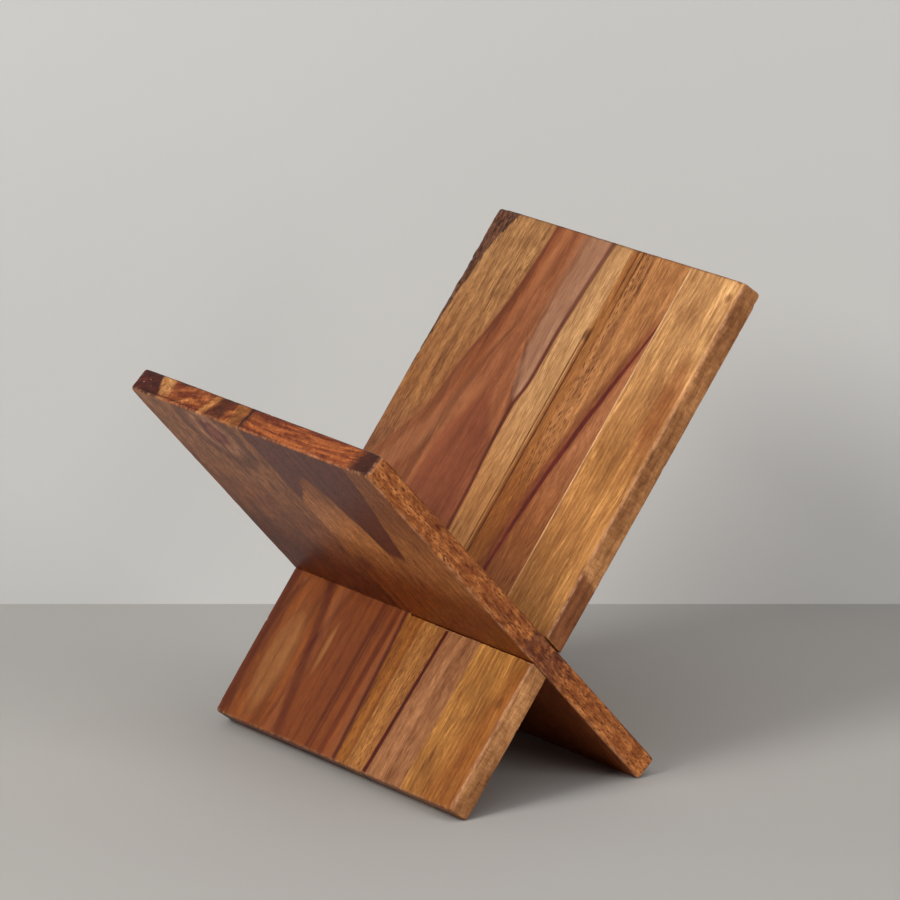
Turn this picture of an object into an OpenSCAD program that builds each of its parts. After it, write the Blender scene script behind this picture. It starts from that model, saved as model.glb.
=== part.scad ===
// Two-board book stand. Two slotted boards cross in an X: a short front board whose top leans
// towards the reader, and a tall back board whose top leans away. Each board is edge-glued from
// staves. The origin is on the floor at the centre of the stand's bounding box. The crossing
// runs along X, the reader sits on the -Y side, and +Z is up.

/* [Boards] */
// Thickness of both boards
board_t = 15; // [12:0.5:20]
// Width of the stand, along the crossing
stand_w = 224; // [160:1:320]
// Front board, from the crossing to its top end
front_top_l = 175; // [120:1:210]
// Front board, from the crossing to its foot end
front_foot_l = 106; // [70:1:140]
// Back board, from the crossing to its top end
back_top_l = 236; // [180:1:320]

/* [Slopes] */
// Slope of the front board, up from the floor
front_slope = 48; // [42:0.5:58]
// Slope of the back board, up from the floor
back_slope = 52.5; // [42:0.5:58]

/* [Cross-lap joint] */
// Gap between a slot's wall and the board that lies in it
slot_gap = 0.4; // [0.2:0.1:1]
// Gap between the closed ends of the two slots
slot_end_gap = 0.4; // [0.2:0.1:1]

/* [Staves] */
// Front board's glue line, as a share of the width from the left side
front_glue = 0.463; // [0.3:0.001:0.49]
// Back board's left glue line, as a share of the width from the left side
back_left_glue = 0.56; // [0.51:0.001:0.65]
// Back board's right glue line, as a share of the width from the left side
back_right_glue = 0.79; // [0.7:0.001:0.9]

/* [Edges] */
// Radius of the eased outer edges
edge_r = 1.5; // [0.5:0.1:2]
// Depth to which each foot's lowest edge is worn flat
foot_wear = 0.3; // [0.1:0.1:0.5]

/* [Hidden] */
$fn = 48;

left_x = -stand_w / 2;
right_x = stand_w / 2;
front_glue_x = left_x + front_glue * stand_w;
back_left_glue_x = left_x + back_left_glue * stand_w;
back_right_glue_x = left_x + back_right_glue * stand_w;

// Reach of an eased end corner from the crossing, along an axis that the board meets at
// the angle slope: the sum of the arc centre's distance and the arc's radius.
function reach(length, slope) =
    (length - edge_r) * cos(slope) + (board_t / 2 - edge_r) * sin(slope) + edge_r;

// Both feet stand on the floor, so the back board's foot length follows from the height.
crossing_z = reach(front_foot_l, 90 - front_slope) - foot_wear;
back_foot_l = edge_r + (crossing_z + foot_wear - edge_r
    - (board_t / 2 - edge_r) * cos(back_slope)) / sin(back_slope);
crossing_y = (reach(front_top_l, front_slope) - reach(back_top_l, back_slope)) / 2;

// Length that reaches past a board or a stave on either side
past = 2 * (front_top_l + back_top_l);

// Board frames, with their origin at the middle of the crossing: x is the stand's own x,
// y runs from the foot to the top, and z is across the thickness.
module front_frame() {
    translate([0, crossing_y, crossing_z]) rotate([180 - front_slope, 0, 0]) children();
}

module back_frame() {
    translate([0, crossing_y, crossing_z]) rotate([back_slope, 0, 0]) children();
}

// A rectangle from low to high with eased corners, made of exact arcs
module eased_rectangle(low, high) {
    r = edge_r;
    translate([low[0] + r, low[1]]) square([high[0] - low[0] - 2 * r, high[1] - low[1]]);
    translate([low[0], low[1] + r]) square([high[0] - low[0], high[1] - low[1] - 2 * r]);
    for (x = [low[0] + r, high[0] - r], y = [low[1] + r, high[1] - r])
        translate([x, y]) circle(r = r);
}

// Outline of a board seen from its side: y is its length, z its thickness
module board_side(foot_l, top_l) {
    translate([right_x, 0, 0]) rotate([90, 0, -90])
        linear_extrude(stand_w) eased_rectangle([-top_l, -board_t / 2], [foot_l, board_t / 2]);
}

// Outline of a board seen from its end: x is its width, z its thickness
module board_end(foot_l, top_l) {
    translate([0, top_l, 0]) rotate([90, 0, 0])
        linear_extrude(foot_l + top_l) eased_rectangle([left_x, -board_t / 2], [right_x, board_t / 2]);
}

// A whole board with its four ends and sides eased
module board(foot_l, top_l) {
    intersection() {
        board_side(foot_l, top_l);
        board_end(foot_l, top_l);
    }
}

// Keeps the part of its children from one x to another
module between(from_x, to_x) {
    intersection() {
        children();
        translate([from_x, -past / 2, -past / 2]) cube([to_x - from_x, past, past]);
    }
}

// Keeps the part of its children that is above the floor, which wears the feet flat
module on_floor() {
    intersection() {
        children();
        translate([-past / 2, -past / 2, 0]) cube([past, past, past]);
    }
}

// The space that a board sweeps in the other one's slot, in that board's own frame
module slot_space(from_x, to_x) {
    depth = board_t + 2 * slot_gap;
    translate([from_x, -past / 2, -depth / 2]) cube([to_x - from_x, past, depth]);
}

// Slot of the front board: open at the left side, closed at mid width
module front_slot() {
    back_frame() slot_space(left_x - 1, slot_end_gap / 2);
}

// Slot of the back board: open at the right side, closed at mid width
module back_slot() {
    front_frame() slot_space(-slot_end_gap / 2, right_x + 1);
}

// One stave of the front board, from one x to another
module front_stave(from_x, to_x, foot_l, top_l) {
    on_floor() difference() {
        front_frame() between(from_x, to_x) board(foot_l, top_l);
        front_slot();
    }
}

// One stave of the back board, from one x to another
module back_stave(from_x, to_x, foot_l, top_l) {
    on_floor() difference() {
        back_frame() between(from_x, to_x) board(foot_l, top_l);
        back_slot();
    }
}

module front_right_stave() {
    color("sienna") front_stave(front_glue_x, right_x, front_foot_l, front_top_l);
}

module front_left_upper_stave() {
    color("peru") front_stave(left_x, front_glue_x, 0, front_top_l);
}

module front_left_lower_stave() {
    color("peru") front_stave(left_x, front_glue_x, front_foot_l, 0);
}

module back_left_stave() {
    color("chocolate") back_stave(left_x, back_left_glue_x, back_foot_l, back_top_l);
}

module back_middle_upper_stave() {
    color("indianred") back_stave(back_left_glue_x, back_right_glue_x, 0, back_top_l);
}

module back_middle_lower_stave() {
    color("indianred") back_stave(back_left_glue_x, back_right_glue_x, back_foot_l, 0);
}

module back_right_upper_stave() {
    color("goldenrod") back_stave(back_right_glue_x, right_x, 0, back_top_l);
}

module back_right_lower_stave() {
    color("goldenrod") back_stave(back_right_glue_x, right_x, back_foot_l, 0);
}

front_right_stave();
front_left_upper_stave();
front_left_lower_stave();
back_left_stave();
back_middle_upper_stave();
back_middle_lower_stave();
back_right_upper_stave();
back_right_lower_stave();
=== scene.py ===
"""Quran stand: two boards glued up from staves, half-lapped into an X.

Each stave is a fine mesh that replaces its CAD node, with eased and worn arrises, chips, glue
lines and relief. Each stave's wood is a procedural material in its board's own coordinates:
x runs across the stand, u along the board from the crossing to its top, and t through its
thickness, from the side under the book's covers (negative) to the side that faces up.
"""

import math

import bpy
import numpy as np
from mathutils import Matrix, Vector


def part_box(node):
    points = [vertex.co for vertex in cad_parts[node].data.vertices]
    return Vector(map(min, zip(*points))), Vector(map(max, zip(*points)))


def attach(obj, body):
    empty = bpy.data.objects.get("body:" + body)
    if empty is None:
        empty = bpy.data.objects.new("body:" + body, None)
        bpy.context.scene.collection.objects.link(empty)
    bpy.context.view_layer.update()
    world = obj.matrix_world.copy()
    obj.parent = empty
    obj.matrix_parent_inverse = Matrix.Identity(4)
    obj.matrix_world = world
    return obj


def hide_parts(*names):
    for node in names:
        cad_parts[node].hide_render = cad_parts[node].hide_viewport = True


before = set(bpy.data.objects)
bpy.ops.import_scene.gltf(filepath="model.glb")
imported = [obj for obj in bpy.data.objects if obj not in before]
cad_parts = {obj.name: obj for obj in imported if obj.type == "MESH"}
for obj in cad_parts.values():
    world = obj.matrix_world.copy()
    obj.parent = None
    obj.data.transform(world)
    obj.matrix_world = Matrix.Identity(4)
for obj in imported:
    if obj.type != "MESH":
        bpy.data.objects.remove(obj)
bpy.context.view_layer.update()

MM = 0.001

# ---------------- boards and staves

LAP_GAP = 0.4 * MM          # gap between a slot's wall and the board in it
HALF_LAP_GAP = 0.2 * MM     # gap from mid width to a slot's closed end
ARRIS_RADIUS = 1.5 * MM     # eased outer edges
GLUE_EASE = 0.12 * MM       # hairline along a glue joint
SLOT_EASE = 0.35 * MM       # sawn edge of a slot
CELL = 1.4 * MM             # mesh cell on the broad faces
DEPTH_CELL = 2.2 * MM       # and through the thickness
FAR = 1.0                   # a distance that stands for no wall at all
TOUCH = 0.01 * MM           # sides closer than this are the same side
HAIR = 0.0001 * MM          # slack for rounding in a comparison
NO_RADIUS = 1e-9
EASED_ZONE = 8 * MM         # rounds move no corner farther than this from a wall


class Board:
    """A board's own axes and extents, measured on its CAD nodes."""

    def __init__(self, nodes):
        self.nodes = nodes
        largest = max(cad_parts[nodes[0]].data.polygons, key=lambda p: p.area)
        across = Vector((1, 0, 0))
        self.face = largest.normal.normalized()
        if self.face.z < 0:
            self.face = -self.face
        self.along = across.cross(self.face)
        if self.along.z < 0:
            self.along = -self.along
        self.points = [v.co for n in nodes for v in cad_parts[n].data.vertices]
        levels = [p.dot(self.face) for p in self.points]
        self.mid_level = (min(levels) + max(levels)) / 2
        self.half = (max(levels) - min(levels)) / 2
        self.left = min(p.x for p in self.points)
        self.right = max(p.x for p in self.points)
        self.width = self.right - self.left

    def cross(self, other):
        """Sets this board's origin and ends, where its middle plane meets the other board's."""
        a, b = self.face, other.face
        det = a.y * b.z - a.z * b.y
        self.origin = Vector((0, (self.mid_level * b.z - a.z * other.mid_level) / det,
                              (a.y * other.mid_level - self.mid_level * b.y) / det))
        reach = [(p - self.origin).dot(self.along) for p in self.points]
        self.foot, self.top = min(reach), max(reach)
        self.length = self.top - self.foot
        self.lap_sine = self.along.dot(other.face)
        self.lap_slant = -self.face.dot(other.face) / self.lap_sine
        self.lap_half = (other.half + LAP_GAP) / self.lap_sine


front = Board([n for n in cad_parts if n.startswith("front_")])
back = Board([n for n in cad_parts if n.startswith("back_")])
front.cross(back)
back.cross(front)
# each arris's two walls and how light (above 0: worn, and painted highlight) or dark (below 0: painted
# shade) its colour is painted
front.edges = [("top", "up", -0.6), ("top", "down", 0.6), ("foot", "down", 0.3), ("left", "down", -0.2),
               ("right", "up", -0.5), ("right", "down", 0.75), ("right", "top", 0.6)]
back.edges = [("top", "up", -0.6), ("top", "down", 0.2), ("foot", "up", 0.5), ("left", "up", -0.3),
              ("right", "top", 0.2), ("right", "down", 0.1), ("right", "up", 0.75)]
back.top_skew = 1.9 * MM    # the top end was sawn a little out of square
front.top_skew = 0.0

# ---------------- noise for the meshes


def hash_grid(ix, iy, iz, seed):
    """A fixed pseudo-random number from 0 to 1 for each whole-number grid point."""
    mixed = (ix * 374761393 + iy * 668265263 + iz * 2147483647 + seed * 144665) & 0xFFFFFFFF
    mixed = ((mixed ^ (mixed >> 13)) * 1274126177) & 0xFFFFFFFF
    mixed = ((mixed ^ (mixed >> 16)) * 2246822519) & 0xFFFFFFFF
    return ((mixed ^ (mixed >> 15)) & 0xFFFFFF) / 0xFFFFFF


def noise(x, y, z, seed):
    """Smooth value noise from -1 to 1, one feature per unit."""
    cells = [np.floor(c).astype(np.int64) for c in (x, y, z)]
    parts = [c - i for c, i in zip((x, y, z), cells)]
    fades = [p * p * (3 - 2 * p) for p in parts]
    total = 0
    for dx in (0, 1):
        for dy in (0, 1):
            for dz in (0, 1):
                weight = 1
                for step, fade in zip((dx, dy, dz), fades):
                    weight = weight * (fade if step else 1 - fade)
                total = total + weight * hash_grid(cells[0] + dx, cells[1] + dy, cells[2] + dz, seed)
    return 2 * total - 1


def smooth(value, low, high):
    """0 below low, 1 above high and a smooth step between."""
    part = np.clip((value - low) / (high - low), 0, 1)
    return part * part * (3 - 2 * part)


# ---------------- stave meshes

ARRIS_LINES = [0, 0.35 * MM, 0.75 * MM, 1.2 * MM, 1.75 * MM, 2.5 * MM]
SLOT_LINES = [0, 0.3 * MM, 0.7 * MM, 1.2 * MM]
GLUE_LINES = [0, 0.12 * MM, 0.7 * MM]
SLANT_FADE = 40 * MM        # run over which the mesh turns from a slot's slant to square


def grid_lines(low, high, low_offsets, high_offsets, cell):
    """Grid lines from low to high, close together by each end as the offsets say."""
    lows = [low + o for o in low_offsets]
    highs = [high - o for o in reversed(high_offsets)]
    count = max(1, math.ceil((highs[0] - lows[-1]) / cell))
    between = np.linspace(lows[-1], highs[0], count + 1)[1:-1]
    return np.array([*lows, *between, *highs])


def shell(xs, us, ts, present):
    """Corner indices and quads of the closed surface round the present cells of a grid."""
    nx, nu, nt = len(xs), len(us), len(ts)
    index = {}
    corners = []

    def corner(i, j, k):
        key = (i * nu + j) * nt + k
        if key not in index:
            index[key] = len(corners)
            corners.append((i, j, k))
        return index[key]

    def empty(i, j):
        return not (0 <= i < nx - 1 and 0 <= j < nu - 1 and present[i, j])

    quads = []
    for i in range(nx - 1):
        for j in range(nu - 1):
            if not present[i, j]:
                continue
            for k in (0, nt - 1):
                ring = [corner(i, j, k), corner(i + 1, j, k), corner(i + 1, j + 1, k), corner(i, j + 1, k)]
                quads.append(ring if k else ring[::-1])
            walls = []
            if empty(i - 1, j):
                walls.append(((i, j + 1), (i, j)))
            if empty(i + 1, j):
                walls.append(((i + 1, j), (i + 1, j + 1)))
            if empty(i, j - 1):
                walls.append(((i, j), (i + 1, j)))
            if empty(i, j + 1):
                walls.append(((i + 1, j + 1), (i, j + 1)))
            for (a, b) in walls:
                for k in range(nt - 1):
                    quads.append([corner(*a, k), corner(*b, k), corner(*b, k + 1), corner(*a, k + 1)])
    return np.array(corners), quads


def eased(radius, *distances):
    """Distances from two or three walls, moved in where a round of the radius meets the walls."""
    overlaps = [np.maximum(radius - d, 0) for d in distances]
    size = np.sqrt(sum(o * o for o in overlaps))
    shrink = np.where(size > radius, radius / np.maximum(size, 1e-9), 1)
    return [np.where(o > 0, radius - o * shrink, d) for o, d in zip(overlaps, distances)]


def arris_radius(at, seed):
    """Radius of the worn outer edges, with a few small chips."""
    board, face_sign = at.board, np.sign(at.t)
    along = 1 + 0.3 * noise(at.x / (19 * MM), at.u / (19 * MM), face_sign * 7, seed)
    along += 0.18 * noise(at.x / (5 * MM), at.u / (5 * MM), face_sign * 7, seed + 1)
    chip = smooth(noise(at.x / (3.1 * MM), at.u / (3.1 * MM), face_sign * 7, seed + 2), 0.62, 0.95)
    corner = 1 - smooth(np.hypot(at.side, at.end), 3 * MM, 10 * MM)
    return ARRIS_RADIUS * (np.clip(along, 1.0, 1.6) + 0.7 * chip + 0.5 * corner)


class Corners:
    """A stave's mesh corners in its board's axes, with their distances from the walls."""

    def __init__(self, node, board, x, u, t, notch, seed):
        low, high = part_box(node)
        from_left, from_right = x - board.left, board.right - x
        from_top, from_foot = board.top - u, u - board.foot
        self.board = board
        self.x, self.u, self.t = x, u, t
        self.face = board.half - np.abs(t)
        self.end = np.minimum(from_top, from_foot)
        self.side = np.minimum(from_left, from_right)
        self.glue = np.minimum(FAR if low.x < board.left + TOUCH else x - low.x,
                               FAR if high.x > board.right - TOUCH else high.x - x)
        self.slot = np.abs(u) - board.lap_half
        if notch:
            beside = notch.reach(x) >= -HAIR
            self.slot = np.where(beside & (self.slot > -HAIR), self.slot, FAR)
        self.end_sign = np.where(from_top < from_foot, 1, -1)
        self.side_sign = np.where(from_left < from_right, -1, 1)
        self.radius = arris_radius(self, seed)
        self.chipped = smooth(noise(x / (5 * MM), u / (9 * MM), np.sign(t) * 3, seed + 3), 0.1, 0.7)

    def edge_wear_and_arris_light(self):
        """How light (above 0) or dark (below 0) each outer edge is painted: lighter where worn and by
        painted highlight, darker by painted shade.
        """
        reach = 2.5 * MM
        at_side, at_end, at_face = self.side < reach, self.end < reach, self.face < reach
        near = {"left": at_side & (self.side_sign < 0), "right": at_side & (self.side_sign > 0),
                "top": at_end & (self.end_sign > 0), "foot": at_end & (self.end_sign < 0),
                "up": at_face & (self.t > 0), "down": at_face & (self.t < 0)}
        amounts = np.full_like(self.t, 0.2)
        for first, second, amount in self.board.edges:
            amounts = np.where(near[first] & near[second], amount, amounts)
        return amounts

    def wear_and_arris_light(self):
        """Worn outer edges with painted highlight and shade, and light scuffs and painted highlight along
        the slot's edges.
        """
        to_edge = np.minimum.reduce([np.maximum(self.face, self.end), np.maximum(self.face, self.side),
                                     np.maximum(self.end, self.side)])
        rounding = 1 - smooth(to_edge, 0.25 * self.radius, 1.15 * self.radius)
        on_slot_edge = (self.slot < 0.9 * MM) & (self.face < 1.0 * MM)
        return np.where(on_slot_edge, 0.9 * self.chipped, rounding * self.edge_wear_and_arris_light())

    def shaped(self, relief):
        """x, u and t after rounds, chips, relief, the slot's slanted walls and the skewed top."""
        board = self.board
        face, end, side = eased(self.radius, self.face, self.end, self.side)
        slot_radius = np.where(self.slot < FAR, SLOT_EASE * (1 + 2.2 * self.chipped), NO_RADIUS)
        face, slot = eased(slot_radius, face, self.slot)
        glued_face = eased(np.full_like(face, GLUE_EASE), face, self.glue)[0]
        face = np.where(self.glue < FAR, glued_face, face) + relief(board, self.x, self.u, self.t)
        x = self.x + np.where(self.side < EASED_ZONE, self.side_sign * (self.side - side), 0)
        t = np.sign(self.t) * (board.half - face)
        u = self.u + np.where(self.end < EASED_ZONE, self.end_sign * (self.end - end), 0)
        u = u + np.where(self.slot < EASED_ZONE, np.sign(self.u) * (slot - self.slot), 0)
        u = u + board.lap_slant * t * (1 - smooth(np.abs(u) - board.lap_half, 0, SLANT_FADE))
        u = u - board.top_skew * np.maximum(u, 0) / board.top * (board.right - x) / board.width
        return x, u, t


class Notch:
    """The part of a slot that is cut out of a whole stave, from x_end to its board's side."""

    def __init__(self, side):
        self.outward = -1 if side == "left" else 1
        self.x_end = -self.outward * HALF_LAP_GAP

    def reach(self, x):
        """How far x lies inside the notch's run across the board."""
        return (x - self.x_end) * self.outward


def stave_lines(node, board, part, notch):
    """A stave's grid lines along x and along u."""
    low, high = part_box(node)
    left_lines = ARRIS_LINES if low.x < board.left + TOUCH else GLUE_LINES
    right_lines = ARRIS_LINES if high.x > board.right - TOUCH else GLUE_LINES
    lap = board.lap_half
    lower = grid_lines(board.foot, -lap, ARRIS_LINES, SLOT_LINES, CELL)
    upper = grid_lines(lap, board.top, SLOT_LINES, ARRIS_LINES, CELL)
    if not notch:
        xs = grid_lines(low.x, high.x, left_lines, right_lines, CELL)
        return xs, lower if part == "lower" else upper
    left_of_end = grid_lines(low.x, notch.x_end, left_lines, SLOT_LINES, CELL)
    right_of_end = grid_lines(notch.x_end, high.x, SLOT_LINES, right_lines, CELL)
    middle = grid_lines(-lap, lap, SLOT_LINES, SLOT_LINES, CELL)
    return (np.concatenate([left_of_end, right_of_end[1:]]),
            np.concatenate([lower, middle[1:], upper[1:]]))


def in_scene(name, data):
    """A new object of the data, put in the scene."""
    thing = bpy.data.objects.new(name, data)
    bpy.context.scene.collection.objects.link(thing)
    return thing


def stave(node, body, board, side, part, relief, seed):
    """Builds a stave in place of its CAD node. part is whole, upper or lower, and side says
    where the slot is that a whole stave is notched for."""
    notch = Notch(side) if part == "whole" else None
    xs, us = stave_lines(node, board, part, notch)
    ts = grid_lines(-board.half, board.half, ARRIS_LINES, ARRIS_LINES, DEPTH_CELL)
    x_mid, u_mid = (xs[1:] + xs[:-1]) / 2, (us[1:] + us[:-1]) / 2
    present = np.ones((len(x_mid), len(u_mid)), bool)
    if notch:
        present[np.ix_(notch.reach(x_mid) > 0, np.abs(u_mid) < board.lap_half)] = False
    corners, quads = shell(xs, us, ts, present)
    at = Corners(node, board, xs[corners[:, 0]], us[corners[:, 1]], ts[corners[:, 2]], notch, seed)
    x, u, t = at.shaped(relief)
    place = (np.outer(x, (1, 0, 0)) + np.outer(u, board.along) + np.outer(t, board.face)
             + np.array(board.origin))
    place[:, 2] = np.maximum(place[:, 2], 0)
    if Vector((1, 0, 0)).cross(board.along).dot(board.face) < 0:
        quads = [q[::-1] for q in quads]

    mesh = bpy.data.meshes.new(node + "_wood")
    mesh.from_pydata(place.tolist(), [], quads)
    mesh.polygons.foreach_set("use_smooth", [True] * len(mesh.polygons))
    board_at = mesh.attributes.new("board", "FLOAT_VECTOR", "POINT")
    board_at.data.foreach_set("vector", np.column_stack([x, u, t]).ravel())
    # the arrises' worn colour with its painted highlight and shade, for the material
    mesh.attributes.new("wear_and_arris_light", "FLOAT", "POINT").data.foreach_set("value", at.wear_and_arris_light())
    mesh.update()
    piece = in_scene(node + "_wood", mesh)
    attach(piece, body)
    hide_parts(node)
    return piece


def planed_relief(board, x, u, t):
    """A planed face, flat but for a faint hand-sanded wave."""
    return (0.06 * noise(x / (24 * MM), u / (46 * MM), t / (30 * MM), 5) + 0.06) * MM


def bark_relief(board, x, u, t):
    """The same, with pitted bark left in the top left corner."""
    across, down = (x - board.left) / board.width, (board.top - u) / board.length
    bark = 1 - smooth(across + down * 0.33, 0.06, 0.10)
    pits = 0.5 + 0.5 * noise(x / (2.6 * MM), u / (5 * MM), np.sign(t) * 5, 6)
    return planed_relief(board, x, u, t) + 0.7 * MM * bark * pits


STAVES = [
    ("front_right_stave", "front_board", "front_right_wood", front, "left", "whole"),
    ("front_left_upper_stave", "front_board", "front_left_wood", front, "left", "upper"),
    ("front_left_lower_stave", "front_board", "front_left_wood", front, "left", "lower"),
    ("back_left_stave", "back_board", "back_left_wood", back, "right", "whole"),
    ("back_middle_upper_stave", "back_board", "back_middle_wood", back, "right", "upper"),
    ("back_middle_lower_stave", "back_board", "back_middle_wood", back, "right", "lower"),
    ("back_right_upper_stave", "back_board", "back_right_wood", back, "right", "upper"),
    ("back_right_lower_stave", "back_board", "back_right_wood", back, "right", "lower"),
]
pieces = {}
for number, (node, body, slot, board, side, part) in enumerate(STAVES):
    relief = bark_relief if node == "back_left_stave" else planed_relief
    pieces[node] = stave(node, body, board, side, part, relief, 11 + 10 * number)

# ---------------- material formulas

SHADE = (0.42, 0.30, 0.24)          # what darkens a colour, multiplied into it
SHINE = (1.6, 1.75, 1.9)            # and what lightens one
DARK_VEIN = (0.28, 0.17, 0.12)
OPEN_PORE = (0.34, 0.22, 0.16)
# painted shade for the darker arrises, multiplied in
ARRIS_SHADE = (0.25, 0.16, 0.12)
MIX_FIRST, MIX_SECOND, MIX_RESULT = 6, 7, 2     # the colour sockets of a Mix node
NOISE_SPREAD = 2.6                  # brings a noise node's usual range to about -1 to 1
SEED_STEP = (3.7, 11.3, 7.9)        # how far one seed's noise lies from the next one's
# low also brings painted shade under the front board: darker, redder tones below the crossing
LOWER_PART = (0.60, 0.74)           # where the back board's lower figure fades in, as n


def linear(colour):
    """A colour in linear light, from its usual 0 to 255 numbers."""
    parts = [c / 255 for c in colour]
    return tuple(p / 12.92 if p <= 0.04045 else ((p + 0.055) / 1.055) ** 2.4 for p in parts)


def operator(operation, swapped=False):
    """An operator of wires that adds a math node."""
    def apply(wire, other):
        return wire.graph.math(operation, *((other, wire) if swapped else (wire, other)))
    return apply


class Wire:
    """A number inside a material, so that layers can be written as formulas."""

    def __init__(self, graph, socket):
        self.graph, self.socket = graph, socket

    def __abs__(self):
        return self.graph.math("ABSOLUTE", self)

    def __neg__(self):
        return self * -1.0

    __add__ = __radd__ = operator("ADD")
    __sub__ = operator("SUBTRACT")
    __rsub__ = operator("SUBTRACT", swapped=True)
    __mul__ = __rmul__ = operator("MULTIPLY")
    __truediv__ = operator("DIVIDE")


class Graph:
    """The node tree of one stave's wood. x, u and t are metres in the board's own axes, v is the
    share of the board's width from its left side and n the share of its length from its top.
    low rises from 0 to 1 round the crossing; colour is the wood's colour so far."""

    def __init__(self, name, board):
        self.material = bpy.data.materials.new(name)
        self.material.use_nodes = True
        self.tree = self.material.node_tree
        self.shader = self.tree.nodes["Principled BSDF"]
        place = self.node("Attribute")
        place.attribute_name = "board"
        self.place = place.outputs["Vector"]
        split = self.node("SeparateXYZ")
        self.tree.links.new(self.place, split.inputs[0])
        self.x, self.u, self.t = (Wire(self, split.outputs[i]) for i in range(3))
        self.v = (self.x - board.left) * (1 / board.width)
        self.n = (board.top - self.u) * (1 / board.length)
        self.low = self.step(self.n, *LOWER_PART)
        self.colour = None
        self.board = board
        # worn arrises, with their painted highlight and shade, read from the mesh
        wear_and_arris_light = self.node("Attribute")
        wear_and_arris_light.attribute_name = "wear_and_arris_light"
        self.wear_and_arris_light = Wire(self, wear_and_arris_light.outputs["Fac"])

    def node(self, kind):
        return self.tree.nodes.new("ShaderNode" + kind)

    def feed(self, socket, value):
        """Links a wire or a socket to the socket, or sets its own value."""
        if isinstance(value, Wire):
            self.tree.links.new(value.socket, socket)
        elif isinstance(value, bpy.types.NodeSocket):
            self.tree.links.new(value, socket)
        elif isinstance(value, tuple) and socket.type == "RGBA":
            socket.default_value = (*value, 1)
        else:
            socket.default_value = value

    def math(self, operation, *values):
        node = self.node("Math")
        node.operation = operation
        for socket, value in zip(node.inputs, values):
            self.feed(socket, value)
        return Wire(self, node.outputs[0])

    def step(self, value, low, high, from_value=0.0, to_value=1.0):
        """A smooth step of the value from low to high."""
        node = self.node("MapRange")
        node.interpolation_type = "SMOOTHSTEP"
        for name, given in (("Value", value), ("From Min", low), ("From Max", high),
                            ("To Min", from_value), ("To Max", to_value)):
            self.feed(node.inputs[name], given)
        return Wire(self, node.outputs["Result"])

    def fade(self, value, low, high):
        """1 below low, 0 above high and a smooth step down between."""
        return self.step(value, low, high, 1.0, 0.0)

    def line(self, distance, width, soft):
        """1 within a width of where the distance is 0, fading over soft."""
        return self.fade(abs(distance), width, width + soft)

    def curve(self, value, points):
        """A smooth curve through given points, all from 0 to 1."""
        node = self.node("FloatCurve")
        track = node.mapping.curves[0]
        track.points[0].location, track.points[-1].location = points[0], points[-1]
        for point in points[1:-1]:
            track.points.new(*point)
        for point in track.points:
            point.handle_type = "AUTO_CLAMPED"
        node.mapping.update()
        self.feed(node.inputs["Value"], value)
        return Wire(self, node.outputs["Value"])

    def at(self, size, seed, shift=None):
        """The place in features of the size (x, u and t in millimetres), moved by one wire along x
        or by three along x, u and t."""
        scaled = self.node("VectorMath")
        scaled.operation = "MULTIPLY_ADD"
        self.feed(scaled.inputs[0], self.place)
        scaled.inputs[1].default_value = [1 / (s * MM) for s in size]
        scaled.inputs[2].default_value = [seed * step for step in SEED_STEP]
        if shift is None:
            return scaled.outputs[0]
        combine = self.node("CombineXYZ")
        for socket, part in zip(combine.inputs, shift if isinstance(shift, tuple) else (shift,)):
            self.feed(socket, part)
        added = self.node("VectorMath")
        self.feed(added.inputs[0], scaled.outputs[0])
        self.feed(added.inputs[1], combine.outputs[0])
        return added.outputs[0]

    def noise(self, size, seed, detail=2.0, roughness=0.5, shift=None, distortion=0.0):
        """Noise from about -1 to 1 with features of the size, in millimetres."""
        node = self.node("TexNoise")
        self.feed(node.inputs["Vector"], self.at(size, seed, shift))
        node.inputs["Scale"].default_value = 1.0
        node.inputs["Detail"].default_value = detail
        node.inputs["Roughness"].default_value = roughness
        node.inputs["Distortion"].default_value = distortion
        return (Wire(self, node.outputs["Fac"]) - 0.5) * NOISE_SPREAD

    def dashes(self, size, seed, reach, shift=None):
        """Short dark dashes, one in each cell of the size: 1 in a dash and 0 outside it."""
        node = self.node("TexVoronoi")
        self.feed(node.inputs["Vector"], self.at(size, seed, shift))
        node.inputs["Scale"].default_value = 1.0
        return self.fade(Wire(self, node.outputs["Distance"]), reach * 0.5, reach)

    def blend(self, kind, share, first, second):
        node = self.node("Mix")
        node.data_type = "RGBA"
        node.blend_type = kind
        node.clamp_factor = True
        self.feed(node.inputs["Factor"], share)
        self.feed(node.inputs[MIX_FIRST], first)
        self.feed(node.inputs[MIX_SECOND], second)
        return node.outputs[MIX_RESULT]

    def mix(self, share, *colours):
        """A mix of two colours, each a socket or its usual 0 to 255 numbers."""
        return self.blend("MIX", share, *(linear(c) if isinstance(c, tuple) else c for c in colours))

    def multiplied(self, share, colour, by=SHADE):
        """The colour with a tint multiplied in by its share."""
        return self.blend("MULTIPLY", share, colour, by)

    def lay(self, share, colour):
        """Lays a colour over the wood's colour so far, and darken and lighten do it by a tint."""
        self.colour = self.mix(share, self.colour, colour)

    def darken(self, share, by=SHADE):
        self.colour = self.multiplied(share, self.colour, by)

    def lighten(self, share):
        self.colour = self.multiplied(share, self.colour, SHINE)


CONTRAST = 2.7      # how strongly every stave's grain shows
CLOUDING = 0.07     # strength of the broad soft patches in it
SPECULAR = 0.2      # faint shine of oiled wood and of matt paint


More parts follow.
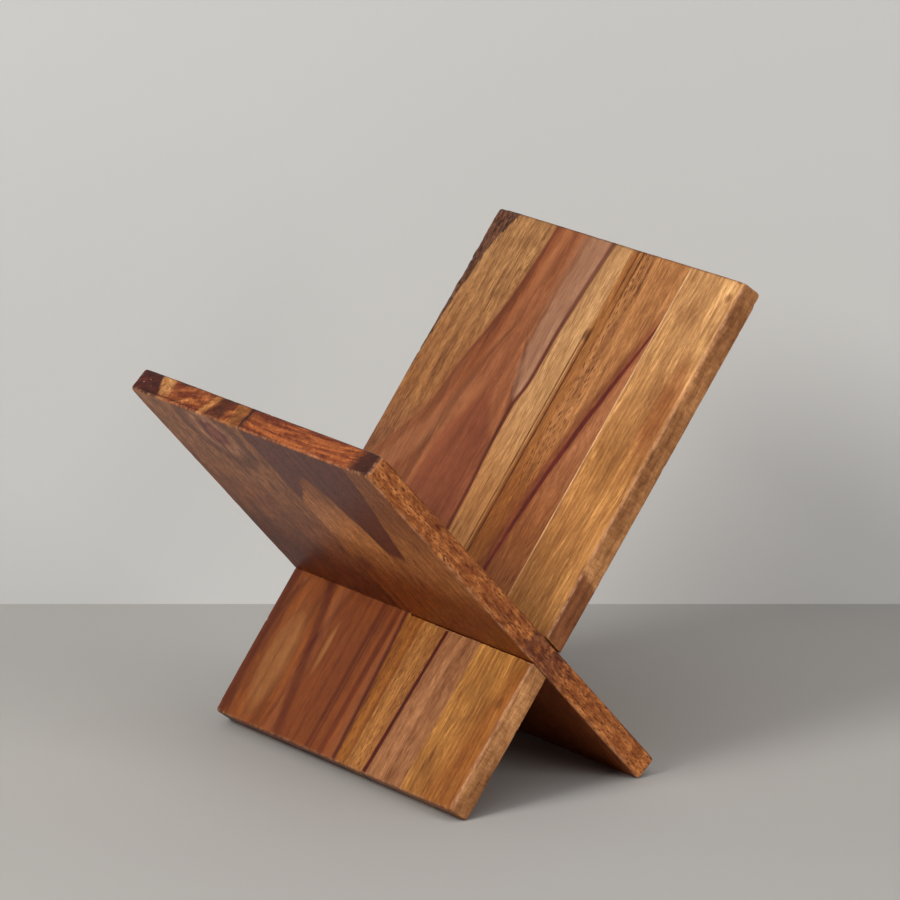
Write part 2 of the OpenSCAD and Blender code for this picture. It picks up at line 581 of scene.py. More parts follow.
class Grain:
    """The wood's own structure, common to every stave: fibres, flecks, streaks, rings and pores.
    The rings are spaced by ring millimetres round the pith, at x and t in metres; fleck and pore
    are sizes in millimetres."""

    def __init__(self, g, seed, ring, pith, fleck=(1.15, 10, 1.15), pore=(1.35, 5.0, 1.35)):
        self.bend = g.noise((55, 130, 40), seed, 1.0) * 1.4 + g.noise((14, 60, 14), seed + 1, 1.0) * 0.4
        flow = self.bend * 1.5
        self.fibre = g.noise((0.8, 10, 0.8), seed + 2, 2.0, 0.65, flow / 0.8)
        soft_fleck = g.noise(fleck, seed + 3, 4.0, 0.72, flow / fleck[0], 0.3)
        self.streak = g.noise((4.2, 90, 4.2), seed + 4, 3.0, 0.62, flow / 4.2)
        self.mottle = g.noise((6, 12, 6), seed + 5, 4.0, 0.65, self.bend * 0.5, 0.5)
        self.cloud = g.noise((17, 42, 17), seed + 8, 2.0, 0.5, self.bend * 0.3)
        patchy = g.step(self.mottle * 0.5 + g.noise((9, 30, 9), seed + 9, 2.0), -0.7, 0.7, 0.35, 1.5)
        self.fleck = g.step(soft_fleck, -0.5, 0.5, -0.5, 0.5) * patchy
        across = g.x - pith[0] + self.bend * 0.0012
        depth = g.t - pith[1]
        radius = g.math("SQRT", across * across + depth * depth)
        wobble = self.mottle * 0.0004 + self.streak * 0.0010
        self.rings = g.math("SINE", (radius + wobble) * (2 * math.pi / (ring * MM)))
        crowd = g.step(self.mottle + self.streak * 0.5, -0.4, 0.3, 0.25, 1.0)
        self.pores = g.dashes(pore, seed + 6, 0.42, flow / pore[0]) * crowd


def lay_grain(g, grain, strength):
    """Shades the wood by streaks, flecks, fibres, rings and mottle, each by its strength."""
    parts = (grain.streak, grain.fleck, grain.fibre, grain.rings, grain.mottle)
    shade = sum(part * amount for part, amount in zip(parts, strength)) + grain.cloud * CLOUDING
    shade = shade * CONTRAST
    g.darken(-shade)
    g.lighten(shade)


def lay_wear_and_arris_light(g):
    """Lightens worn arrises unevenly, partly as painted highlight, and darkens others with painted shade.
    """
    uneven = g.step(g.noise((2.5, 7, 2.5), 90, 3.0, 0.65), -0.25, 0.45, 0.12, 1.0)
    # pale arris colour: partly worn wood, partly painted highlight
    g.lay(g.wear_and_arris_light * uneven, (206, 150, 110))
    # darker arrises: painted shade
    g.darken(-g.wear_and_arris_light, ARRIS_SHADE)


def finish_wood(g, grain, strength, pore_share, roughness=0.40):
    """Lays grain, pores and worn arrises with painted highlight and shade over the wood's colour and sets
    roughness and fine relief.
    """
    lay_grain(g, grain, strength)
    pores = grain.pores * pore_share
    g.darken(pores, OPEN_PORE)
    lay_wear_and_arris_light(g)
    rough = roughness + grain.fibre * 0.05 + pores * 0.15 + grain.mottle * 0.04 + abs(g.wear_and_arris_light) * 0.12
    bump = g.node("Bump")
    bump.inputs["Distance"].default_value = 0.12 * MM
    bump.inputs["Strength"].default_value = 0.45
    g.feed(bump.inputs["Height"], grain.fibre * 0.25 + grain.fleck * 0.35 - pores)
    g.feed(g.shader.inputs["Base Color"], g.colour)
    g.feed(g.shader.inputs["Roughness"], rough)
    g.feed(g.shader.inputs["Normal"], bump.outputs["Normal"])
    g.shader.inputs["Specular IOR Level"].default_value = SPECULAR
    return g.material


def oval_reach(g, v, n, half_width, half_length):
    """The distance from the middle of an oval, 1 at its rim, in shares of the board's size."""
    across, down = (g.v - v) * (1 / half_width), (g.n - n) * (1 / half_length)
    return g.math("SQRT", across * across + down * down)


def spot(g, v, n, half_width, half_length, ragged=0.0):
    """An oval patch with soft edges."""
    reach = oval_reach(g, v, n, half_width, half_length) + ragged
    return g.fade(reach, 0.35, 1.2)


def near_side(g):
    """1 on a board's right side, 0 on its faces."""
    return g.step(g.x, g.board.right - 1.6 * MM, g.board.right - 0.3 * MM)


def lay_ends(g, end_colour, reach=1.2 * MM):
    """Puts the end grain's own colour on a board's top and foot."""
    past = g.math("MAXIMUM", g.u - (g.board.top - reach), (g.board.foot + reach) - g.u)
    g.lay(g.step(past, 0.0, 0.7 * reach), end_colour)


# ---------------- the back board's woods

SAPWOOD_EDGE = [(0, 0.25), (0.09, 0.238), (0.19, 0.214), (0.28, 0.175), (0.37, 0.142),
                (0.44, 0.085), (0.5, 0.03), (0.56, 0.0), (1, 0)]
BAND_PATH = [(0, 0.258), (0.15, 0.245), (0.3, 0.215), (0.45, 0.15), (1, 0.05)]
PATCH_EDGE = [(0, 0.372), (0.15, 0.374), (0.26, 0.383), (0.32, 0.43), (0.36, 0.5), (1, 0.6)]
FLAME_MIDDLE = [(0, 0.32), (0.2, 0.325), (0.35, 0.335), (0.55, 0.345), (1, 0.36)]
FLAME_HALF = [(0, 0.0), (0.17, 0.005), (0.22, 0.04), (0.3, 0.075), (0.4, 0.11), (0.52, 0.13),
              (0.62, 0.14), (1, 0.15)]
FLAME_EDGE = [(0, 0.4875), (0.09, 0.4735), (0.19, 0.4624), (0.28, 0.4596), (0.335, 0.444),
              (0.41, 0.447), (0.485, 0.457), (0.56, 0.4624), (0.65, 0.475), (0.74, 0.4875),
              (0.84, 0.4986), (0.93, 0.508), (1, 0.515)]
BARK_EDGE = [(0, 0.1), (0.05, 0.062), (0.12, 0.034), (0.2, 0.018), (0.3, 0.006), (0.4, 0), (1, 0)]
# the lower part's stripes: where across the board, half width, softness and strength
STRIPES = [(0.39, 0.003, 0.008, 1.0), (0.405, 0.001, 0.004, 1.0), (0.45, 0.006, 0.010, 1.0),
           (0.335, 0.001, 0.008, 0.6), (0.302, 0.001, 0.006, 0.5)]
STREAK_PATH = [(0, 0.8), (0.11, 0.79), (0.23, 0.752), (0.34, 0.714), (0.47, 0.682), (0.6, 0.664),
               (0.73, 0.655), (1, 0.64)]
STREAK_HALF = [(0, 0.0), (0.08, 0.001), (0.2, 0.008), (0.34, 0.011), (0.6, 0.007), (1, 0.009)]
LIGHT_PATH = [(0, 0.77), (0.7, 0.73), (0.8, 0.712), (1, 0.705)]


def heartwood_figure(g, v):
    """Brown heartwood, a darker band beside the sapwood and a mauve patch that ends in a point."""
    g.colour = g.mix(g.step(g.n, 0.04, 0.2), (164, 98, 58), (150, 88, 51))
    # darker and redder below the crossing: partly the wood's own tone, partly painted shade under the
    # front board
    g.lay(g.low, (140, 72, 26))
    band = g.line(v - g.curve(g.n, BAND_PATH), 0.01, 0.03) * (1 - g.low)
    g.lay(band * 0.85, (128, 66, 32))
    patch_at = v - g.curve(g.n, PATCH_EDGE)
    patch_edge = g.step(g.n, 0.08, 0.3, -0.035, -0.006)
    g.lay(g.step(patch_at, patch_edge, -patch_edge) * 0.95, (167, 118, 88))
    g.darken(g.line(patch_at, 0.0, 0.008) * g.step(g.n, 0.1, 0.25) * 0.35)


def flame_figure(g, v):
    """A rounded tongue, redder in its core, with light and dark outlines above the crossing."""
    inside = abs(v - g.curve(g.n, FLAME_MIDDLE)) / (g.curve(g.n, FLAME_HALF) + 0.002)
    flame = g.fade(inside, 0.8, 1.15) * g.step(g.n, 0.14, 0.24)
    g.lay(flame * 0.6, (152, 88, 52))
    core = g.fade(inside + g.step(g.n, 0.28, 0.42, 0.8, 0.0), 0.6, 1.0)
    g.lay(core * 0.9, g.mix(g.low, (134, 70, 42), (134, 66, 24)))
    outlined = g.step(g.n, 0.16, 0.24) * (1 - g.low)
    g.lighten(g.line(inside - 0.88, 0.0, 0.12) * outlined * 0.45)
    g.darken(g.line(inside - 1.1, 0.02, 0.16) * outlined * 0.5)
    g.lighten(g.line(inside - 1.42, 0.0, 0.12) * outlined * 0.25)


def growth_contours(g, grain, sap_at):
    """Wavy growth lines that run between the sapwood's edge and the flame's sharp edge."""
    flow = sap_at / (g.curve(g.n, FLAME_EDGE) - g.curve(g.n, SAPWOOD_EDGE) + 0.02)
    contour = g.math("SINE", flow * 26.0 + grain.streak * 2.0 + grain.mottle * 0.7)
    near_edge = g.step(flow, 0.75, 0.25, 0.3, 1.0)
    g.darken(g.step(contour, 0.3, 1.0) * near_edge * 0.42)
    g.lighten(g.step(contour, -0.3, -1.0) * near_edge * 0.2)


def sapwood_figure(g, sap_at):
    """Golden sapwood with a dark line at its edge, which blurs low down. Gives its share too."""
    blur = g.step(g.n, 0.22, 0.42, 0.0, 0.022)
    halo = g.line(sap_at - 0.075, 0.015, 0.05) * g.step(g.n, 0.26, 0.44) * (1 - g.low)
    g.lay(halo * 0.6, (160, 102, 66))
    sap = g.fade(sap_at, -0.01 - blur, 0.004 + blur)
    sap_tone = g.mix(g.step(g.n, 0.05, 0.32), (172, 121, 72), (152, 98, 53))
    sap_tone = g.mix(g.step(g.n, 0.34, 0.46), sap_tone, (136, 86, 52))
    g.lay(sap, sap_tone)
    sap_line = g.line(sap_at - 0.006, 0.001, 0.008) * g.step(g.n, 0.22, 0.42, 0.75, 0.3)
    g.lay(sap_line, (104, 46, 24))
    return sap


def gold_figure(g, grain):
    """Gold beyond the flame's sharp edge, with a dark red line along it. Gives its share too."""
    edge = g.v + grain.bend * 0.002 - g.curve(g.n, FLAME_EDGE)
    gold = g.mix(g.step(g.n, 0.25, 0.52), (190, 139, 88), (174, 118, 66))
    # the gold turns darker and redder below the crossing: partly the wood's own tone, partly painted shade
    # under the front board
    gold = g.mix(g.low, gold, (154, 90, 32))
    golden = g.step(edge, -0.001, 0.004)
    g.lay(golden, gold)
    red_line = g.line(edge + 0.005, g.step(g.n, 0.0, 0.3, 0.004, 0.0015), 0.011)
    g.lay(red_line * g.step(g.n, 0.0, 0.3, 0.75, 1.0), (92, 36, 18))
    return golden


def lower_figure(g, grain, v):
    """The ringed oval, dark vees, light tear and stripes below the crossing."""
    oval = oval_reach(g, 0.12, 0.88, 0.06, 0.11) + grain.mottle * 0.1
    g.lay(g.fade(oval, 0.5, 1.15) * g.low, (158, 98, 50))
    rings = g.step(g.math("SINE", oval * 9.0 + grain.streak * 0.8), 0.2, 1.0)
    g.darken(rings * g.line(oval - 1.6, 0.4, 0.5) * g.low * 0.45)
    right_vee = g.line(g.v - 0.225 - (g.n - 0.88) * 0.35, 0.006, 0.022)
    left_vee = g.line(g.v - 0.235 + (g.n - 0.78) * 0.4, 0.001, 0.016) * g.step(g.n, 0.82, 0.86, 0.5, 0.0)
    side_band = g.line(g.v, 0.02, 0.03)
    dark = g.math("MINIMUM", (right_vee + left_vee + side_band) * 0.75, 1.0)
    g.lay(dark * g.low, (94, 34, 10))
    tear = g.fade(oval_reach(g, 0.268, 0.83, 0.011, 0.055), 0.3, 1.2)
    g.lay(tear * 0.9, (164, 104, 56))
    stripes = sum(g.line(v - at, half, soft) * share for at, half, soft, share in STRIPES)
    g.lay(stripes * g.low * 0.65, (92, 30, 8))


def unbroken(g, grain, least):
    """How whole a dark vein is along its length, from least to 1."""
    return g.step(grain.fleck + grain.mottle, -0.7, 0.2, least, 1.0)


def dark_vein(g, vein):
    """A dark vein beside the glue line, fainter below the crossing."""
    g.darken(vein * g.step(g.n, 0.58, 0.7, 1.0, 0.35), DARK_VEIN)


def bark_figure(g):
    """Bark left in the top left corner and down the left side."""
    ragged = g.noise((2.2, 6, 2.2), 31, 3.0, 0.7) * 0.012
    bark = g.fade(g.v + ragged - g.curve(g.n, BARK_EDGE), -0.01, 0.004) * g.step(g.n, 0.48, 0.26)
    patches = g.step(g.noise((1.6, 4, 1.6), 33, 3.0, 0.7), -0.5, 0.6)
    g.lay(bark, g.mix(patches, (52, 24, 15), (140, 90, 62)))
    g.darken(g.line(bark - 0.5, 0.1, 0.4) * 0.9, DARK_VEIN)


def back_left_wood():
    """Golden sapwood by the left side, then dark heartwood with a reddish flame, then gold."""
    g = Graph("back_left_wood", back)
    grain = Grain(g, 3, ring=6.0, pith=(-0.03, 0.09))
    depth = (back.half - g.t) * (1 / (2 * back.half))
    v = g.v + grain.bend * 0.003 + grain.streak * 0.004 + grain.mottle * 0.002 + depth * 0.05
    sap_at = v - g.curve(g.n, SAPWOOD_EDGE)
    heartwood_figure(g, v)
    flame_figure(g, v)
    growth_contours(g, grain, sap_at)
    sap = sapwood_figure(g, sap_at)
    golden = gold_figure(g, grain)
    lower_figure(g, grain, v)
    vein = g.line(g.v + grain.fibre * 0.0016 - 0.5525, 0.001, 0.004) * unbroken(g, grain, 0.15)
    dark_vein(g, vein * g.step(g.n, 0.15, 0.2))
    g.darken(spot(g, 0.556, 0.17, 0.01, 0.014) * 0.95)
    bark_figure(g)
    lay_ends(g, g.multiplied(0.5, g.colour))
    lively = sap * 1.2 + golden
    strength = (0.14 + lively * 0.16, 0.12 + lively * 0.2, 0.12 + lively * 0.12, 0.05,
                0.14 + sap * 0.2)
    return finish_wood(g, grain, strength, 0.12 + sap * 0.4 + golden * g.low * 0.5)


def maroon_streak(g, grain, streak_at):
    """A maroon streak with a softer halo on its left, starting near the top."""
    half_width = g.curve(g.n, STREAK_HALF)
    shown = g.step(g.n, 0.05, 0.14)
    halo = g.fade(abs(streak_at + 0.01) - half_width, 0.0, 0.024)
    g.lay(halo * shown * g.step(g.n, 0.6, 0.75, 0.75, 0.3), (118, 54, 28))
    core = g.fade(abs(streak_at) - half_width * 0.75 + grain.fleck * 0.001, -0.002, 0.003)
    g.lay(core * shown, g.mix(g.low, (98, 30, 20), (80, 18, 8)))


def back_middle_wood():
    """Golden brown with a band of open pores and a maroon streak, pinkish beyond it."""
    g = Graph("back_middle_wood", back)
    grain = Grain(g, 21, ring=4.5, pith=(0.05, 0.07))
    depth = (back.half - g.t) * (1 / (2 * back.half))
    v = g.v + grain.bend * 0.0015 + depth * 0.04
    g.colour = g.mix(g.step(g.n, 0.28, 0.5), (176, 116, 65), (142, 82, 32))
    left_tone = g.mix(g.step(g.n, 0.3, 0.5), (156, 96, 44), (140, 80, 30))
    g.lay(g.line(v - 0.583, 0.018, 0.016) * 0.85, left_tone)
    g.lay(g.low, (178, 116, 56))
    streak_at = v - g.curve(g.n, STREAK_PATH)
    pink = g.mix(g.step(g.n, 0.35, 0.55), (162, 100, 60), (148, 86, 42))
    pink = g.mix(g.low, pink, (160, 104, 64))
    g.lay(g.step(streak_at, -0.002, 0.006), pink)
    light_at = v - g.curve(g.n, LIGHT_PATH)
    g.lighten(g.line(light_at, 0.004, 0.016) * g.low * 0.5)
    maroon_streak(g, grain, streak_at)
    # dark vein and a small knot by the glue line, two short lines by the top, and the pores
    vein_at = g.v + grain.fibre * 0.0016 + grain.mottle * 0.001
    whole = unbroken(g, grain, 0.3)
    vein = g.line(vein_at - 0.571, 0.0012, 0.004) * g.step(g.n, 0.13, 0.18)
    dark_vein(g, vein * whole)
    g.darken(spot(g, 0.566, 0.17, 0.009, 0.014) * 0.95)
    top_lines = g.line(vein_at - 0.583, 0.001, 0.004) + g.line(vein_at - 0.604, 0.0015, 0.004)
    g.darken(top_lines * g.fade(g.n, 0.05, 0.16) * whole, DARK_VEIN)
    pore_band = g.line(v - 0.63, 0.024, 0.012) * g.fade(g.n, 0.38, 0.5)
    g.darken(pore_band * g.step(grain.streak + grain.fleck * 0.5, 0.1, -0.7) * 0.7)
    lay_ends(g, g.multiplied(0.5, g.colour))
    lower_strip = g.step(streak_at, 0.0, -0.01) * g.low
    strength = (0.24, 0.34, 0.22, 0.05, 0.16)
    return finish_wood(g, grain, strength, 0.3 + pore_band * 0.9 + lower_strip * 0.4)


def back_side_tone(g, grain):
    """The near side: golden, with short strokes across it and a red-brown patch above the crossing."""
    strokes = g.noise((6, 1.5, 6), 57, 3.0, 0.6) + grain.mottle * 0.5
    side_tone = g.mix(g.step(strokes, -0.9, 0.9), (148, 94, 52), (184, 126, 76))
    side_tone = g.multiplied(g.step(g.n, 0.4, 0.2) * 0.3, side_tone)
    patch_at = g.n - 0.62 + g.t * 1.2
    return g.mix(g.line(patch_at, 0.055, 0.012) * 0.8, side_tone, (104, 50, 22))


def back_right_wood():
    """Golden, with fine wavy light lines and soft reddish patches."""
    g = Graph("back_right_wood", back)
    grain = Grain(g, 47, ring=3.2, pith=(0.16, 0.03), fleck=(1.3, 8, 1.3))
    g.colour = g.mix(g.step(g.n, 0.05, 0.4), (202, 146, 90), (172, 114, 58))
    g.lay(g.low, (176, 116, 54))
    wave = g.noise((2.6, 32, 3), 51, 4.0, 0.62, grain.bend * 2.0 + grain.mottle * 0.5, 1.2)
    g.lighten(g.step(wave, 0.0, 0.55) * 0.8)
    g.darken(g.step(wave, 0.0, -0.55) * 0.6)
    red_patch = spot(g, 0.955, 0.26, 0.05, 0.12, grain.mottle * 0.3)
    g.lay(red_patch * 0.85, (150, 86, 42))
    bright_edge = g.step(g.v, 0.9, 0.96) * g.step(g.n, 0.4, 0.48) * (1 - g.low)
    g.lighten(bright_edge * 0.6)
    corner = g.step(g.v + (g.n - 0.8) * 0.3 + grain.mottle * 0.02, 0.88, 0.98)
    g.lay(corner * g.low * 0.7, (138, 72, 22))
    g.darken(spot(g, 0.965, 0.805, 0.012, 0.014) * 0.7)
    g.darken(spot(g, 0.972, 0.035, 0.014, 0.01) * 0.8)
    cream = g.line(g.v - 0.7925, 0.0007, 0.003)
    g.lay(cream * g.step(g.n, 0.5, 0.7, 0.7, 0.05), (222, 178, 132))
    side = near_side(g)
    g.lay(side, back_side_tone(g, grain))
    lay_ends(g, g.multiplied(0.5, g.colour))
    g.lighten(g.step(grain.cloud, 0.0, 0.6) * 0.55)
    g.darken(g.step(grain.cloud, -0.1, -0.6) * 0.45)
    strength = (0.16, 0.12, 0.18, 0.05, 0.16 + side * 0.14)
    return finish_wood(g, grain, strength, 0.3)


# ---------------- the front board's woods

TONGUE_LEFT = [(0, 0.6), (0.1, 0.6), (0.125, 0.585), (0.15, 0.55), (0.18, 0.53), (0.24, 0.463),
               (0.3, 0.44), (1, 0.4)]
TONGUE_RIGHT = [(0, 0.6), (0.1, 0.6), (0.125, 0.62), (0.16, 0.645), (0.22, 0.672), (0.35, 0.71),
                (0.5, 0.74), (1, 0.8)]
DARK_RIGHT = [(0, 0.905), (0.12, 0.865), (0.25, 0.81), (0.33, 0.78), (0.42, 0.76), (1, 0.7)]


def ringed_knot(g, grain):
    """A small pinkish knot near the top, with dark, light and dark rings."""
    knot = oval_reach(g, 0.29, 0.065, 0.058, 0.05) + grain.bend * 0.12 + grain.mottle * 0.25
    g.lay(g.step(knot, 1.3, 0.6) * 0.75, (168, 92, 76))
    g.lay(g.line(knot - 0.65, 0.05, 0.25) * 0.6, (92, 36, 26))
    g.lay(g.line(knot - 1.2, 0.05, 0.25) * 0.45, (188, 136, 104))
    g.lay(g.line(knot - 1.95, 0.15, 0.45) * 0.65, (98, 52, 40))


def swirled_end_grain(g, grain):
    """Dark red-brown, a cream patch, orange swirls, a dark slanting smudge, then olive."""
    at = g.v + grain.bend * 0.004 + grain.mottle * 0.006
    swirl = g.noise((15, 30, 9), 69, 3.0, 0.6, g.t * -140.0 + grain.bend * 0.4, 0.8)
    end = g.mix(g.step(swirl, -0.4, 0.5), (106, 40, 14), (172, 98, 46))
    end = g.mix(g.step(swirl, 0.3, 0.8) * 0.8, end, (194, 134, 78))
    leaning = at + g.t * 1.6
    end = g.mix(g.fade(leaning, 0.098, 0.11), end, (70, 22, 12))
    end = g.mix(g.step(swirl, 0.0, 0.5) * g.step(at, 0.1, 0.07) * 0.7, end, (130, 60, 40))
    cream = g.line(leaning - 0.128, 0.014, 0.016 + g.t) * g.step(g.t, -front.half, 0.0)
    end = g.mix(cream * 0.95, end, (188, 130, 74))
    slanting = at - g.t * 2.6
    end = g.mix(g.line(slanting - 0.365, 0.018, 0.022) * 0.85, end, (74, 28, 10))
    end = g.mix(g.line(slanting - 0.315, 0.006, 0.014) * 0.8, end, (188, 124, 64))
    end = g.mix(g.line(at - 0.437, 0.012, 0.02) * 0.6, end, (140, 88, 40))
    # painted glints of light on the glossy end grain by the far corner
    glints = g.dashes((4.5, 9, 3.5), 71, 0.15) * g.step(g.v, 0.08, 0.05)
    end = g.mix(glints, end, (190, 150, 130))
    groove = g.line(g.t + front.half - 2.0 * MM - grain.bend * 0.0004, 0.15 * MM, 0.5 * MM)
    return g.multiplied(groove * g.step(at, 0.03, 0.07) * g.step(at, 0.2, 0.26, 1.0, 0.3), end)


def front_left_wood():
    """Grey-brown, redder towards the crossing, with a small ringed knot near the top."""
    g = Graph("front_left_wood", front)
    grain = Grain(g, 63, ring=5.5, pith=(-0.07, 0.06), fleck=(2.2, 13, 2.2))
    slant = g.n - (g.v - 0.2) * 0.15 + grain.mottle * 0.04
    g.colour = g.mix(g.step(slant, 0.15, 0.34), (162, 104, 66), (144, 84, 48))
    g.lay(g.step(slant, 0.34, 0.5), (104, 44, 15))
    ringed_knot(g, grain)
    lay_ends(g, swirled_end_grain(g, grain))
    g.darken(g.step(grain.cloud, 0.1, 0.6) * 0.4)
    return finish_wood(g, grain, (0.26, 0.3, 0.18, 0.05, 0.6), 0.6, 0.44)


def heart_and_tongue(g, grain, v, n):
    """Dark heartwood round a golden tongue. Gives the dark heartwood's share too."""
    heart = g.fade(v - g.curve(n, DARK_RIGHT), -0.004, 0.004) * g.fade(n, 0.325, 0.36)
    from_right = v - g.curve(n, TONGUE_RIGHT)
    tongue = g.step(v - g.curve(n, TONGUE_LEFT), -0.006, 0.006)
    tongue = tongue * g.fade(from_right, -0.006, 0.006) * g.step(n, 0.115, 0.135)
    dark_heart = heart * (1 - tongue)
    redder = g.step(n + (v - 0.5) * 0.4, 0.04, 0.34)
    g.lay(dark_heart, g.mix(redder, (112, 62, 50), (108, 52, 34)))
    g.lighten(heart * tongue * g.step(n, 0.14, 0.26) * 0.6)
    rim = g.line(from_right, 0.0, 0.016) * g.step(n, 0.1, 0.14)
    g.darken(rim * g.fade(n, 0.32, 0.42) * 0.7)
    dark_spot = spot(g, 0.5, 0.43, 0.035, 0.035, grain.mottle * 0.3)
    g.lay(dark_spot * 0.7, (88, 36, 24))
    return dark_heart


def front_side_tone(g, grain):
    """The near side: warm brown, with purple-grey patches by the crossing."""
    warm = g.step(grain.mottle + grain.streak * 0.5, -0.8, 0.8)
    side_tone = g.mix(warm, (136, 65, 23), (192, 118, 60))
    by_crossing = g.line(g.n - 0.62, 0.04, 0.06)
    grey_patch = g.step(g.noise((3, 7, 3), 88, 3.0) + by_crossing * 0.7, 0.35, 0.65)
    return g.mix(grey_patch * 0.65, side_tone, (94, 46, 34))


def flamed_end_grain(g, grain):
    """Orange-red with long soft flame lines, dark at the near corner, cracked at the joint."""
    rise = (g.v - 0.62) * (g.v - 0.62) * -15.0 + grain.mottle * 0.2
    flame_line = g.noise((34, 30, 2.6), 93, 3.0, 0.6, (0.0, 0.0, rise), 0.6)
    end = g.mix(g.step(flame_line, -0.3, 0.35), (104, 40, 16), (168, 90, 42))
    end = g.mix(g.step(flame_line, 0.4, 0.8) * 0.6, end, (190, 120, 64))
    near_corner = g.step(g.v + grain.mottle * 0.01 - g.t * 1.5, 0.9, 0.95)
    end = g.mix(near_corner, end, (66, 26, 14))
    crack_at = g.v - 0.47 - g.t * 1.1 - grain.mottle * 0.006
    end = g.mix(g.line(crack_at, 0.004, 0.02) * 0.6, end, (70, 28, 12))
    return g.mix(g.line(crack_at, 0.0016, 0.003), end, (30, 11, 6))


def front_right_wood():
    """Dark purple-brown heartwood round a golden tongue, warm gold beyond."""
    g = Graph("front_right_wood", front)
    grain = Grain(g, 81, ring=4.2, pith=(0.06, 0.045), fleck=(1.5, 7, 1.5), pore=(1.2, 4.2, 1.2))
    depth = (front.half + g.t) * (1 / (2 * front.half))
    v = g.v + grain.bend * 0.002 + grain.mottle * 0.003 + depth * 0.03
    n = g.n + depth * 0.05 + grain.mottle * 0.004
    g.colour = g.mix(g.step(n, 0.15, 0.3), (146, 84, 42), (176, 109, 58))
    g.lay(g.step(n, 0.34, 0.48), (130, 62, 19))
    dark_heart = heart_and_tongue(g, grain, v, n)
    side = near_side(g)
    g.lay(side, front_side_tone(g, grain))
    lay_ends(g, flamed_end_grain(g, grain))
    mottle = 0.4 - side * 0.06 - dark_heart * 0.15
    strength = (0.2, 0.26 + side * 0.14, 0.18 + side * 0.16, 0.05, mottle)
    return finish_wood(g, grain, strength, 0.6 + side * 0.4, 0.42)


WOODS = {
    "front_right_wood": front_right_wood(),
    "front_left_wood": front_left_wood(),
    "back_left_wood": back_left_wood(),
    "back_middle_wood": back_middle_wood(),
    "back_right_wood": back_right_wood(),
}
for node, _, slot, *_ in STAVES:
    pieces[node].data.materials.append(WOODS[slot])

# ---------------- camera, light and room

VIEW_AZIMUTH = math.radians(53.17)
VIEW_ELEVATION = math.radians(15.98)
VIEW_DISTANCE = 4.167
VIEW_RIGHT = 0.01388        # the aim lies this far right of the crossing
VIEW_UP = 0.08987           # and this far above it
SENSOR = 36.0
LENS = 297.1
WALL_BEHIND = 0.280         # wall foot's distance behind the crossing, along the view
WALL_LEAN = 0.32            # it leans back, clear of the back board at the end of the slide
STAGE_WIDTH = 12.0
WALL_HEIGHT = 4.0
WORLD_STRENGTH = 0.10

toward_camera = Vector((math.sin(VIEW_AZIMUTH) * math.cos(VIEW_ELEVATION),
                        -math.cos(VIEW_AZIMUTH) * math.cos(VIEW_ELEVATION), math.sin(VIEW_ELEVATION)))
view_right = Vector((math.cos(VIEW_AZIMUTH), math.sin(VIEW_AZIMUTH), 0))
view_up = toward_camera.cross(view_right)
level_back = Vector((-math.sin(VIEW_AZIMUTH), math.cos(VIEW_AZIMUTH), 0))


def face_from(thing, direction):
    """Turns a camera or a light, which lies that way from its aim, to face the aim."""
    thing.rotation_mode = "QUATERNION"
    thing.rotation_quaternion = (-direction).to_track_quat("-Z", "Y")


def make_camera():
    data = bpy.data.cameras.new("camera")
    data.sensor_width = SENSOR
    data.lens = LENS
    data.clip_start, data.clip_end = 0.1, 100
    camera = in_scene("camera", data)
    camera.location = (front.origin + VIEW_DISTANCE * toward_camera + VIEW_RIGHT * view_right
                       + VIEW_UP * view_up)
    face_from(camera, toward_camera)
    bpy.context.scene.camera = camera


def stage_sheet(name, centre, across, upward, width, height, material):
    """A flat rectangle of the studio: floor or wall."""
    corners = [centre + sx * width / 2 * across + sy * height / 2 * upward
               for sx, sy in ((-1, -1), (1, -1), (1, 1), (-1, 1))]
    mesh = bpy.data.meshes.new(name)
    mesh.from_pydata([tuple(c) for c in corners], [], [(0, 1, 2, 3)])
    mesh.materials.append(material)
    sheet = in_scene(name, mesh)


def plain_material(name, colour, roughness):
    material = bpy.data.materials.new(name)
    material.use_nodes = True
    shader = material.node_tree.nodes["Principled BSDF"]
    shader.inputs["Base Color"].default_value = (*colour, 1)
    shader.inputs["Roughness"].default_value = roughness
    shader.inputs["Specular IOR Level"].default_value = SPECULAR
    return material


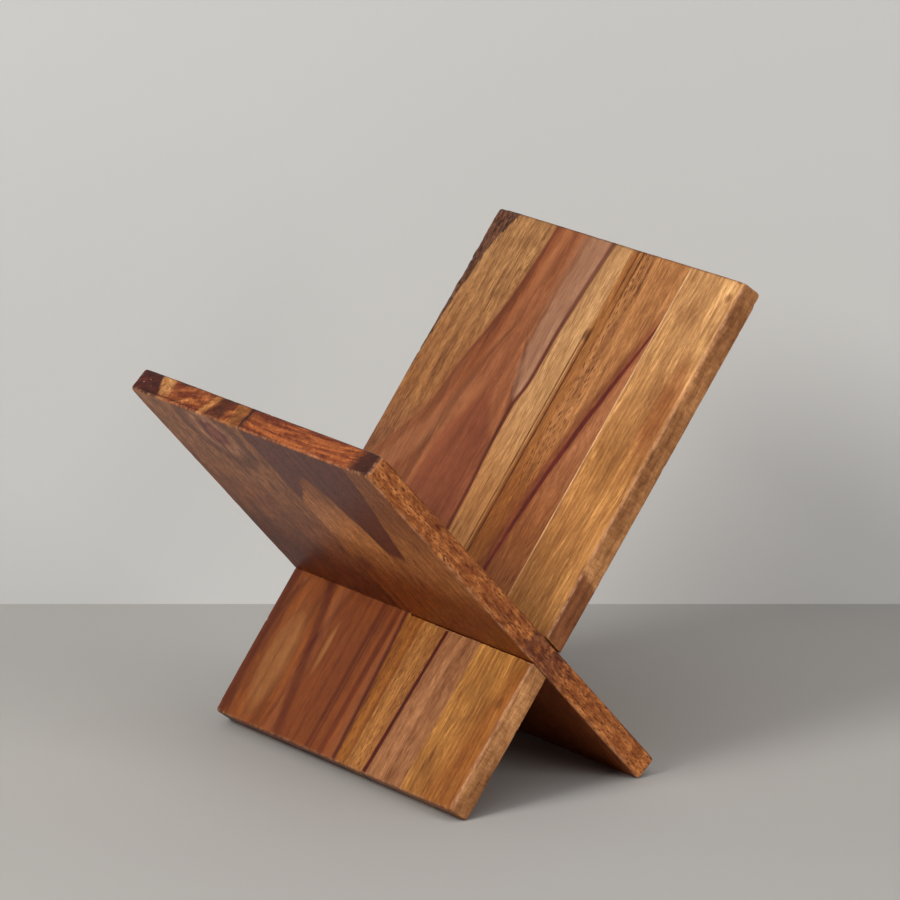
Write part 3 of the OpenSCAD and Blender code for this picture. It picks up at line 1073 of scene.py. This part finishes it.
def clear_from_behind(material):
    """The wall is seen only from its front, so that it hides nothing in a view from behind it."""
    tree = material.node_tree
    shader = tree.nodes["Principled BSDF"]
    output = tree.nodes["Material Output"]
    geometry = tree.nodes.new("ShaderNodeNewGeometry")
    clear = tree.nodes.new("ShaderNodeBsdfTransparent")
    choose = tree.nodes.new("ShaderNodeMixShader")
    tree.links.new(geometry.outputs["Backfacing"], choose.inputs["Fac"])
    tree.links.new(shader.outputs["BSDF"], choose.inputs[1])
    tree.links.new(clear.outputs["BSDF"], choose.inputs[2])
    tree.links.new(choose.outputs["Shader"], output.inputs["Surface"])


def area_light(name, towards, distance, size, power, colour):
    """A round lamp of the studio, aimed at the crossing from the given way."""
    data = bpy.data.lights.new(name, "AREA")
    data.shape = "DISK"
    data.size = size
    data.energy = power
    data.color = colour
    light = in_scene(name, data)
    direction = towards.normalized()
    light.location = front.origin + distance * direction
    face_from(light, direction)


make_camera()
floor_material = plain_material("floor_paint", (0.45, 0.433, 0.41), 0.75)
wall_material = plain_material("wall_paint", (0.58, 0.573, 0.555), 0.9)
clear_from_behind(wall_material)
wall_foot = Vector((front.origin.x, front.origin.y, 0)) + WALL_BEHIND * level_back
stage_sheet("floor", Vector((0, 0, 0)), Vector((1, 0, 0)), Vector((0, 1, 0)),
            STAGE_WIDTH, STAGE_WIDTH, floor_material)
wall_up = (Vector((0, 0, 1)) + WALL_LEAN * level_back).normalized()
stage_sheet("wall", wall_foot + WALL_HEIGHT / 2 * wall_up, view_right, wall_up,
            STAGE_WIDTH, WALL_HEIGHT, wall_material)

key_way = -0.72 * view_right - 0.62 * level_back + Vector((0, 0, 0.75))
side_way = 0.95 * view_right - 0.75 * level_back + Vector((0, 0, 0.35))
fill_way = Vector((0, 0, 1)) - 0.4 * level_back
area_light("key", key_way, distance=2.2, size=0.9, power=29, colour=(1.0, 0.985, 0.96))
area_light("fill", fill_way, distance=2.6, size=2.4, power=22, colour=(0.97, 0.985, 1.0))
area_light("side_fill", side_way, distance=2.6, size=1.6, power=27, colour=(1.0, 0.99, 0.97))

world = bpy.data.worlds.new("studio")
bpy.context.scene.world = world
world.use_nodes = True
background = world.node_tree.nodes["Background"]
background.inputs["Color"].default_value = (0.93, 0.95, 1.0, 1)
background.inputs["Strength"].default_value = WORLD_STRENGTH
bpy.context.scene.view_settings.view_transform = "Standard"
